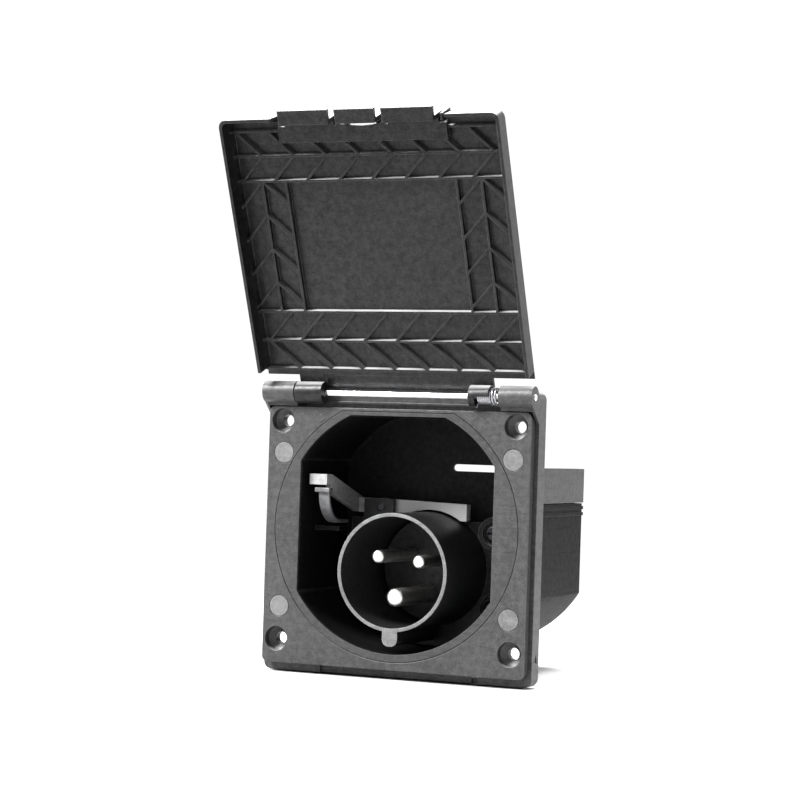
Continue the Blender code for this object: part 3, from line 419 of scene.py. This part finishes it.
def sweep(shape, points, radius, sides=12):
    """A round wire through the points, with its ends closed by flat caps."""
    points = [Vector(p) for p in points]
    rows = []
    side = None
    for i, point in enumerate(points):
        ahead = points[min(i + 1, len(points) - 1)] - points[max(i - 1, 0)]
        ahead.normalize()
        if side is None:
            side = ahead.orthogonal().normalized()
        side = (side - ahead * side.dot(ahead)).normalized()
        other = ahead.cross(side)
        ring = []
        for k in range(sides):
            a = 2 * math.pi * k / sides
            ring.append(shape.verts.new(point + (side * math.cos(a) + other * math.sin(a)) * radius))
        rows.append(ring)
    for one, two in zip(rows, rows[1:]):
        for k in range(sides):
            j = (k + 1) % sides
            shape.faces.new((one[k], one[j], two[j], two[k]))
    shape.faces.new(rows[0])
    shape.faces.new(rows[-1])


def make_lid_spring(material):
    """The coil round the hinge rod: close turns, then open turns of a larger radius."""
    points = []
    x = 33.0
    step = 36
    for turns, pitch, radius in ((7, 0.78, 2.7), (2.25, 1.25, 3.1)):
        for _ in range(int(turns * step)):
            a = 2 * math.pi * len(points) / step - math.pi / 2
            points.append(Vector((x, radius * math.cos(a), radius * math.sin(a))))
            x += pitch / step
    last = points[-1]
    leg = [Vector((32.95, -1.7, -4.3)), Vector((32.96, -1.2, -3.6)), Vector((32.98, -0.7, -3.0))]
    tail = [last + Vector((0.1, 0.9, 0)), last + Vector((0.1, 1.9, 0.2))]
    joined = [*leg, *points[2:], *tail]
    shape = bmesh.new()
    sweep(shape, [HINGE + p * MM for p in joined], 0.40 * MM, 10)
    finish_mesh("lid_spring_wire", shape, material, ["lid_spring"], 60)


def make_lever_spring(material):
    """The bent strip under the lever's pad, with a rolled head and rounded edges."""
    low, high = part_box("lever_spring")
    left, right = -34.45 * MM, -29.75 * MM
    thick = 1.3 * MM
    centre = Vector((0, 5.0, 13.0)) * MM
    bend = 11.3 * MM
    path = [Vector((0, -6.4, 14.75)) * MM, Vector((0, -6.35, 14.0)) * MM]
    for k in range(25):
        a = math.radians(180 + 90 * k / 24)
        path.append(centre + Vector((0, math.cos(a), math.sin(a))) * bend)
    path.append(Vector((0, 8.0, 1.7)) * MM)
    path.append(Vector((0, 11.5, 1.7)) * MM)
    shape = bmesh.new()
    rows = []
    for i, point in enumerate(path):
        ahead = (path[min(i + 1, len(path) - 1)] - path[max(i - 1, 0)]).normalized()
        out = Vector((0, ahead.z, -ahead.y))
        row = []
        half = thick / 2
        ease = 0.35 * MM
        for x, n in ((left, -half + ease), (left + ease, -half), (right - ease, -half),
                     (right, -half + ease), (right, half - ease), (right - ease, half),
                     (left + ease, half), (left, half - ease)):
            row.append(shape.verts.new(Vector((x, point.y, point.z)) + out * n))
        rows.append(row)
    for one, two in zip(rows, rows[1:]):
        for k in range(8):
            j = (k + 1) % 8
            shape.faces.new((one[k], one[j], two[j], two[k]))
    shape.faces.new(rows[0])
    shape.faces.new(rows[-1])
    head = bmesh.ops.create_cube(shape, size=1.0)["verts"]
    for v in head:
        v.co = Vector((-32.45 * MM + v.co.x * 6.4 * MM, -6.4 * MM + v.co.y * 3.3 * MM,
                       13.9 * MM + v.co.z * 1.8 * MM))
    edges = {e for v in head for e in v.link_edges}
    bmesh.ops.bevel(shape, geom=list(edges), offset=0.45 * MM, segments=3, profile=0.6, affect="EDGES")
    obj = finish_mesh("lever_strip", shape, material, ["lever_spring"], 40)
    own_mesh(obj)


def make_gland_nut(material):
    """The ribbed clamping nut on the back of the cable entry."""
    low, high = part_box("gland_nut")
    centre = (low + high) / 2
    outer = (high.x - low.x) / 2
    front, back = low.y, high.y

    def ribs(angle, radius, place):
        if radius < outer * 0.93:
            return radius
        wave = math.cos(angle * KNURLS)
        return radius - (0.0 if wave > -0.1 else 0.55 * MM)

    profile = [(9.8 * MM, front + 0.2 * MM), (outer - 0.6 * MM, front), (outer, front + 0.6 * MM)]
    profile += [(outer, front + 4.3 * MM), (outer - 0.5 * MM, front + 5.2 * MM)]
    profile += [(10.6 * MM, back - 1.6 * MM), (9.6 * MM, back - 0.7 * MM), (8.0 * MM, back)]
    profile += [(5.8 * MM, back), (5.3 * MM, back - 0.5 * MM), (5.3 * MM, back - 1.5 * MM)]
    profile += [(9.7 * MM, back - 3.6 * MM)]
    shape = bmesh.new()
    rows = lathe(shape, profile, centre, "Y", 144, ribs)
    one, other = rows[-1], rows[0]
    for k in range(len(one)):
        j = (k + 1) % len(one)
        shape.faces.new((one[k], one[j], other[j], other[k]))
    finish_mesh("gland_ribbed_nut", shape, material, ["gland_nut"], 35)


def make_floor():
    """A pale floor that runs out to a plain white backdrop, with no edge between them."""
    shape = bmesh.new()
    bmesh.ops.create_circle(shape, cap_ends=True, segments=96, radius=0.62)
    floor = plain_object("floor", shape)
    floor.location.z = cad_box[0].z - 0.0005
    made, g, shader = new_material("pale_floor")
    where = g.add("TexCoord", 3)
    cloud = g.add("TexNoise", 0, Vector=where, Scale=6.0)
    base = g.blend(cloud, grey(0.50), grey(0.53))
    away = g.add("VectorMath", 1, {"operation": "LENGTH"}, i0=where)
    glow = g.add("Emission", 0, Strength=WHITE)
    link(g, shader, Base_Color=base)
    shader.inputs["Roughness"].default_value = 0.9
    shader.inputs["Specular IOR Level"].default_value = 0.0
    joined = made.node_tree.nodes.new("ShaderNodeMixShader")
    out = made.node_tree.nodes["Material Output"]
    tree = made.node_tree
    tree.links.new(g.between(away, 0.22, 0.50), joined.inputs[0])
    tree.links.new(shader.outputs[0], joined.inputs[1])
    tree.links.new(glow, joined.inputs[2])
    tree.links.new(joined.outputs[0], out.inputs[0])
    floor.data.materials.append(made)
    shape = bmesh.new()
    bmesh.ops.create_icosphere(shape, subdivisions=4, radius=5.5)
    backdrop = plain_object("backdrop", shape)
    made = bpy.data.materials.new("white_backdrop")
    made.use_nodes = True
    tree = made.node_tree
    tree.nodes.clear()
    glow = tree.nodes.new("ShaderNodeEmission")
    glow.inputs["Strength"].default_value = WHITE
    out = tree.nodes.new("ShaderNodeOutputMaterial")
    tree.links.new(glow.outputs[0], out.inputs[0])
    backdrop.data.materials.append(made)
    backdrop.visible_diffuse = False
    backdrop.visible_shadow = False


place_camera()
light_scene()
bpy.context.scene.view_settings.view_transform = "Standard"

# Frame and lid: upward faces painted light grey as a painted highlight, at shares 0.5 and 0.95.
frame_black = plastic("frame_black", 0.031, 0.48, 0.60, 0.35, 0.5, 0.5, mottle=0.26)
lid_black = plastic("lid_black", 0.0075, 0.40, 0.45, 0.40, 0.28, 0.95, round_by=0.00042, mottle=0.3)
# Bowl: painted shade, much darker past y -11.8 mm inside.
recess_black = plastic("recess_black", 0.045, 0.52, 0.50, 0.35, 0.14,
                       painted_light_past=(0.0045, -0.0118, -0.0100, 1), mottle=0.26)
# Inlet: lighter front face, with painted shade past y -12.75 mm inside the shroud.
inlet_black = plastic("inlet_black", 0.13, 0.38, 0.25, 0.6, 0.30, 0.0, (0.014, -0.01275, -0.0123, 1), 0.4)
housing_black = plastic("housing_black", 0.005, 0.46, 0.40, 0.2, 0.04, mottle=0.3)
gland_black = plastic("gland_black", 0.012, 0.40, 0.30, 0.3, 0.35)
cap_grey = plastic("cap_grey", 0.038, 0.48, 0.35, 0.25, 0.3)
disc_grey = plastic("disc_grey", 0.112, 0.5, 0.55, -0.3, mottle=0.25)
# Lever: painted light, the bar past x -14.8 mm painted lighter than the pad and arm.
lever_grey = plastic("lever_grey", 0.29, 0.40, 0.25, 0.4, 0.5, 0.0, (0.60, -0.0155, -0.0148, 0), 0.25)
seal_rubber = rubber("seal_rubber")
zinc = metal("zinc_plate", (0.62, 0.62, 0.64), 0.28, (900.0, 900.0, 900.0), 0.45)
dark_steel = metal("dark_steel", (0.05, 0.05, 0.055), 0.42, (900.0, 900.0, 900.0), 0.3)
rod_zinc = metal("rod_zinc", (0.86, 0.86, 0.88), 0.22, (40.0, 900.0, 900.0), 0.15)
drawn = metal("drawn_spring", (0.36, 0.36, 0.38), 0.42, (900.0, 900.0, 900.0), 0.35)
strip = metal("strip_steel", (0.16, 0.16, 0.165), 0.55, (900.0, 60.0, 60.0), 1.4, 0.5)
bright = metal("nickel_plate", (0.80, 0.79, 0.77), 0.34, (700.0, 60.0, 700.0), 0.45)
brass = metal("machined_brass", (0.72, 0.55, 0.26), 0.3, (900.0, 900.0, 900.0), 0.4)

dress(["frame"], frame_black)
dress(["lid", "lid_catch"], lid_black)
dress(["recess_bowl"], recess_black)
dress(["inlet_insert", "pin_carrier"], inlet_black)
dress(["terminal_box"], housing_black)
dress(["gland_body", "gland_nut", "gland_locknut"], gland_black)
dress(["terminal_cap", "cord_clamp"], cap_grey)
dress([f"blanking_plug_{n}" for n in range(1, 5)], disc_grey)
dress(["release_lever"], lever_grey)
dress(["lid_seal", "inlet_gasket", "gland_seal"], seal_rubber)
dress(["lever_pivot_pin", "catch_pin"], dark_steel)
dress(["terminal_earth", "terminal_live", "terminal_neutral"], brass)

for n in range(1, 5):
    cross_screw(f"assembly_screw_{n}", "Y", 1, zinc)
    cross_screw(f"inlet_screw_{n}", "Y", 1, dark_steel)
    cross_screw(f"cap_screw_{n}", "Z", -1, zinc)
for n in (1, 2):
    cross_screw(f"clamp_screw_{n}", "Z", -1, zinc)
for label in ("earth", "live", "neutral"):
    round_pin(f"pin_{label}", "Y", bright)
    round_pin(f"terminal_{label}_screw", "Z", zinc, 0.2, -1)
round_pin("hinge_rod", "X", rod_zinc, 0.3)
make_lid_spring(drawn)
make_lever_spring(strip)
make_gland_nut(gland_black)
make_floor()
